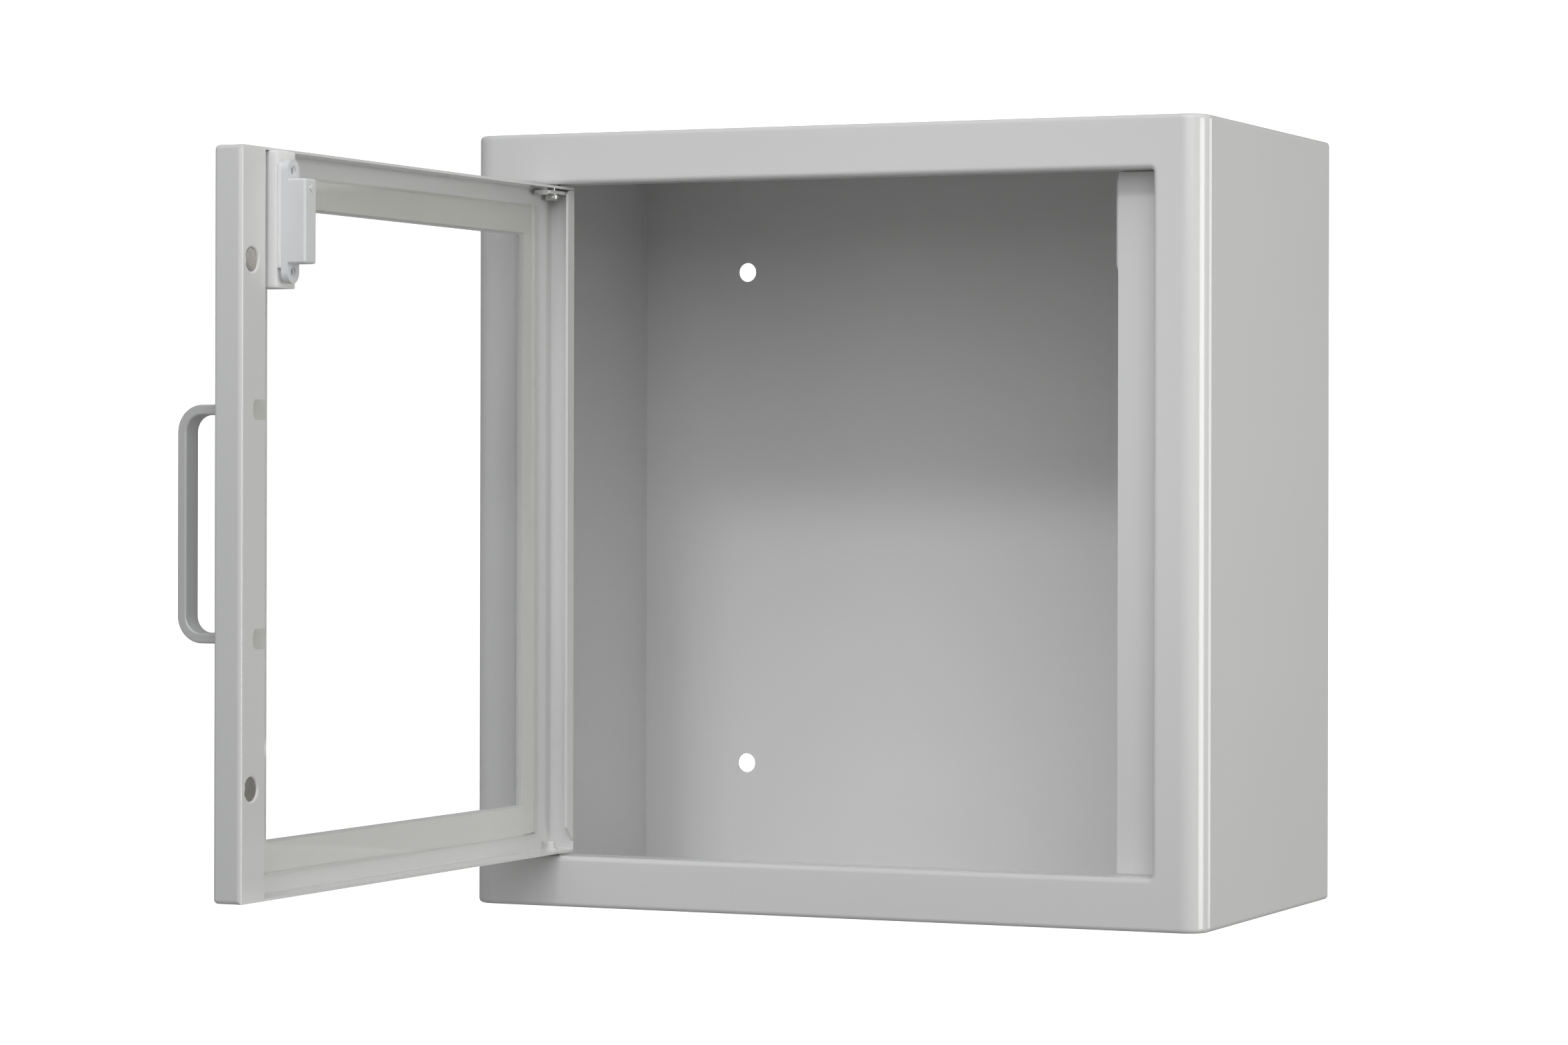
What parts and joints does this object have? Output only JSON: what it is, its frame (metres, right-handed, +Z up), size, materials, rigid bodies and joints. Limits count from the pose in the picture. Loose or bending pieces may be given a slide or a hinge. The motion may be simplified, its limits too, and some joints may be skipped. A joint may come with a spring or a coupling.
{
  "type": "wall cabinet with glazed door and door alarm",
  "caption": "Square painted steel wall cabinet with a clear window door on pivots, a bow handle, closing magnets and a magnetic door alarm; holds an emergency device.",
  "frame": {"origin": "centre of the four wall holes, on the back panel's rear face", "axes": "+X to the right of a person facing the cabinet, +Y into the wall, +Z up; the door opens towards -Y, hinged at -X"},
  "size_m": [0.38, 0.5036, 0.38],
  "materials": {
    "grey_paint": "satin powder coat with a fine orange peel",
    "clear_pane": "clear polished plastic",
    "pane_tape": "adhesive tape seen through the pane",
    "handle_silver": "satin silver",
    "zinc_steel": "zinc plated",
    "dark_steel": "blackened steel",
    "nickel": "nickel plated magnet",
    "white_foam": "closed-cell foam",
    "white_plastic": "fine moulded texture",
    "board_green": "solder mask over glass fibre",
    "component_black": "moulded epoxy",
    "ferrite": "ground ferrite",
    "reed_glass": "clear glass tube",
    "brass": "bare brass"
  },
  "bodies": {
    "cabinet": {"cabinet_body": "grey_paint", "back_panel": "grey_paint", "strike_rail": "grey_paint", "lower_pivot_pin": "grey_paint", "lower_washer": "dark_steel", "upper_spacer": "dark_steel", "upper_pivot_screw": "zinc_steel", "upper_pivot_nut": "zinc_steel", "alarm_tape": "white_foam", "alarm_base": "white_plastic", "alarm_cover": "white_plastic", "alarm_screws": "zinc_steel", "alarm_board": "board_green", "board_parts": "component_black", "reed_switch": "reed_glass", "sounder_ring": "component_black", "sounder_disc": "brass", "button_cells": "zinc_steel", "battery_contacts": "nickel", "switch_body": "component_black"},
    "door": {"door_pan": "grey_paint", "window_pane": "clear_pane", "tape_top": "pane_tape", "tape_hinge_side": "pane_tape", "tape_bottom": "pane_tape", "tape_free_side": "pane_tape", "handle": "handle_silver", "handle_screws": "zinc_steel", "closing_magnet_upper": "nickel", "closing_magnet_lower": "nickel", "hinge_plate": "grey_paint", "hinge_plate_rivet": "grey_paint", "lower_bush": "grey_paint", "magnet_foam_block": "white_foam", "magnet_foam_pad": "white_foam", "magnet_case": "white_plastic", "bar_magnet": "ferrite"},
    "alarm_switch": {"switch_knob": "component_black"},
    "alarm_battery_cover": {"battery_cover": "white_plastic"}
  },
  "joints": [
    {"name": "door_hinge", "type": "hinge", "parent": "cabinet", "child": "door", "pos_m": [-0.1491, -0.194, 0], "axis": [0, 0, -1], "range_deg": [-90.4, 29.6]},
    {"name": "alarm_switch_slide", "type": "slide", "parent": "cabinet", "child": "alarm_switch", "axis": [1, 0, 0], "range_m": [0, 0.003]},
    {"name": "battery_cover_slide", "type": "slide", "parent": "cabinet", "child": "alarm_battery_cover", "axis": [0, 0, -1], "range_m": [0, 0.012]}
  ]
}
